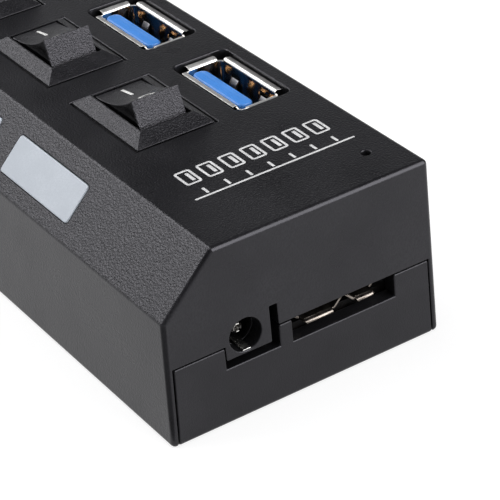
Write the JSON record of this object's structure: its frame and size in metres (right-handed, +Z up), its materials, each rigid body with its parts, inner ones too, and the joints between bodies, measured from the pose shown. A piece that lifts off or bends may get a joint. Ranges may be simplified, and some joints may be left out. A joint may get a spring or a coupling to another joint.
{
  "type": "usb hub",
  "caption": "Long powered hub with a row of upright sockets on a flat top, a rocker switch beside each socket, and lit windows in a sloped front face.",
  "frame": {"origin": "middle of the hub on the surface that its feet stand on", "axes": "+Z up, +X along the hub towards the end with the power jack and the micro-B socket, -Y towards the sloped face"},
  "size_m": [0.172, 0.0364, 0.027],
  "materials": {
    "case_plastic": "fine spark-eroded grain, satin",
    "cover_plastic": "fine grain, satin",
    "foot_rubber": "matt",
    "screw_steel": "zinc plated",
    "board": "solder resist, satin",
    "chip_black": "moulded epoxy, matt",
    "can_aluminium": "drawn, satin",
    "socket_plate": "bright plated sheet steel",
    "socket_blue": "moulded, satin",
    "contact_gold": "gold flash",
    "switch_black": "moulded, satin",
    "rocker_black": "fine grain, satin",
    "plunger_nylon": "moulded, satin",
    "lever_bronze": "stamped strip",
    "terminal_brass": "stamped strip",
    "window_white": "translucent, satin",
    "lamp_resin": "clear resin",
    "micro_resin": "moulded, matt",
    "jack_black": "moulded, satin",
    "jack_plate": "bright plated"
  },
  "bodies": {
    "case": {"top_shell": "case_plastic", "bottom_cover": "cover_plastic", "cover_screws": "screw_steel", "rubber_feet": "foot_rubber", "main_pcb": "board", "hub_chips": "chip_black", "capacitors": "can_aluminium", "usb_contacts": "contact_gold", "switch_terminals": "terminal_brass", "led_windows": "window_white", "port_leds": "lamp_resin", "power_led": "lamp_resin", "micro_b_shell": "socket_plate", "micro_b_tongue": "micro_resin", "micro_b_contacts": "contact_gold", "dc_jack_body": "jack_black", "dc_jack_pin": "jack_plate", "dc_jack_spring": "jack_plate", "usb_shell_1": "socket_plate", "usb_shell_2": "socket_plate", "usb_shell_3": "socket_plate", "usb_shell_4": "socket_plate", "usb_shell_5": "socket_plate", "usb_shell_6": "socket_plate", "usb_shell_7": "socket_plate", "usb_tongue_1": "socket_blue", "usb_tongue_2": "socket_blue", "usb_tongue_3": "socket_blue", "usb_tongue_4": "socket_blue", "usb_tongue_5": "socket_blue", "usb_tongue_6": "socket_blue", "usb_tongue_7": "socket_blue", "switch_body_1": "switch_black", "switch_body_2": "switch_black", "switch_body_3": "switch_black", "switch_body_4": "switch_black", "switch_body_5": "switch_black", "switch_body_6": "switch_black", "switch_body_7": "switch_black"},
    "rocker_1": {"rocker_1": "rocker_black", "plunger_1": "plunger_nylon"},
    "contact_lever_1": {"contact_lever_1": "lever_bronze"},
    "rocker_2": {"rocker_2": "rocker_black", "plunger_2": "plunger_nylon"},
    "contact_lever_2": {"contact_lever_2": "lever_bronze"},
    "rocker_3": {"rocker_3": "rocker_black", "plunger_3": "plunger_nylon"},
    "contact_lever_3": {"contact_lever_3": "lever_bronze"},
    "rocker_4": {"rocker_4": "rocker_black", "plunger_4": "plunger_nylon"},
    "contact_lever_4": {"contact_lever_4": "lever_bronze"},
    "rocker_5": {"rocker_5": "rocker_black", "plunger_5": "plunger_nylon"},
    "contact_lever_5": {"contact_lever_5": "lever_bronze"},
    "rocker_6": {"rocker_6": "rocker_black", "plunger_6": "plunger_nylon"},
    "contact_lever_6": {"contact_lever_6": "lever_bronze"},
    "rocker_7": {"rocker_7": "rocker_black", "plunger_7": "plunger_nylon"},
    "contact_lever_7": {"contact_lever_7": "lever_bronze"}
  },
  "joints": [
    {"name": "rocker_1_tip", "type": "hinge", "parent": "case", "child": "rocker_1", "pos_m": [0.05455, -0.0005, 0.02265], "axis": [0, 1, 0], "range_deg": [0, 36]},
    {"name": "rocker_2_tip", "type": "hinge", "parent": "case", "child": "rocker_2", "pos_m": [0.03335, -0.0005, 0.02265], "axis": [0, 1, 0], "range_deg": [0, 36]},
    {"name": "rocker_3_tip", "type": "hinge", "parent": "case", "child": "rocker_3", "pos_m": [0.01215, -0.0005, 0.02265], "axis": [0, 1, 0], "range_deg": [0, 36]},
    {"name": "rocker_4_tip", "type": "hinge", "parent": "case", "child": "rocker_4", "pos_m": [-0.00905, -0.0005, 0.02265], "axis": [0, 1, 0], "range_deg": [0, 36]},
    {"name": "rocker_5_tip", "type": "hinge", "parent": "case", "child": "rocker_5", "pos_m": [-0.03025, -0.0005, 0.02265], "axis": [0, 1, 0], "range_deg": [0, 36]},
    {"name": "rocker_6_tip", "type": "hinge", "parent": "case", "child": "rocker_6", "pos_m": [-0.05145, -0.0005, 0.02265], "axis": [0, 1, 0], "range_deg": [0, 36]},
    {"name": "rocker_7_tip", "type": "hinge", "parent": "case", "child": "rocker_7", "pos_m": [-0.07265, -0.0005, 0.02265], "axis": [0, 1, 0], "range_deg": [0, 36]},
    {"name": "contact_lever_1_tip", "type": "hinge", "parent": "case", "child": "contact_lever_1", "pos_m": [0.05455, -0.0005, 0.01603], "axis": [0, 1, 0], "range_deg": [-18, 0]},
    {"name": "contact_lever_2_tip", "type": "hinge", "parent": "case", "child": "contact_lever_2", "pos_m": [0.03335, -0.0005, 0.01603], "axis": [0, 1, 0], "range_deg": [-18, 0]},
    {"name": "contact_lever_3_tip", "type": "hinge", "parent": "case", "child": "contact_lever_3", "pos_m": [0.01215, -0.0005, 0.01603], "axis": [0, 1, 0], "range_deg": [-18, 0]},
    {"name": "contact_lever_4_tip", "type": "hinge", "parent": "case", "child": "contact_lever_4", "pos_m": [-0.00905, -0.0005, 0.01603], "axis": [0, 1, 0], "range_deg": [-18, 0]},
    {"name": "contact_lever_5_tip", "type": "hinge", "parent": "case", "child": "contact_lever_5", "pos_m": [-0.03025, -0.0005, 0.01603], "axis": [0, 1, 0], "range_deg": [-18, 0]},
    {"name": "contact_lever_6_tip", "type": "hinge", "parent": "case", "child": "contact_lever_6", "pos_m": [-0.05145, -0.0005, 0.01603], "axis": [0, 1, 0], "range_deg": [-18, 0]},
    {"name": "contact_lever_7_tip", "type": "hinge", "parent": "case", "child": "contact_lever_7", "pos_m": [-0.07265, -0.0005, 0.01603], "axis": [0, 1, 0], "range_deg": [-18, 0]}
  ],
  "couplings": [
    {"joint": "contact_lever_1_tip", "follows": "rocker_1_tip", "ratio": -0.5},
    {"joint": "contact_lever_2_tip", "follows": "rocker_2_tip", "ratio": -0.5},
    {"joint": "contact_lever_3_tip", "follows": "rocker_3_tip", "ratio": -0.5},
    {"joint": "contact_lever_4_tip", "follows": "rocker_4_tip", "ratio": -0.5},
    {"joint": "contact_lever_5_tip", "follows": "rocker_5_tip", "ratio": -0.5},
    {"joint": "contact_lever_6_tip", "follows": "rocker_6_tip", "ratio": -0.5},
    {"joint": "contact_lever_7_tip", "follows": "rocker_7_tip", "ratio": -0.5}
  ]
}
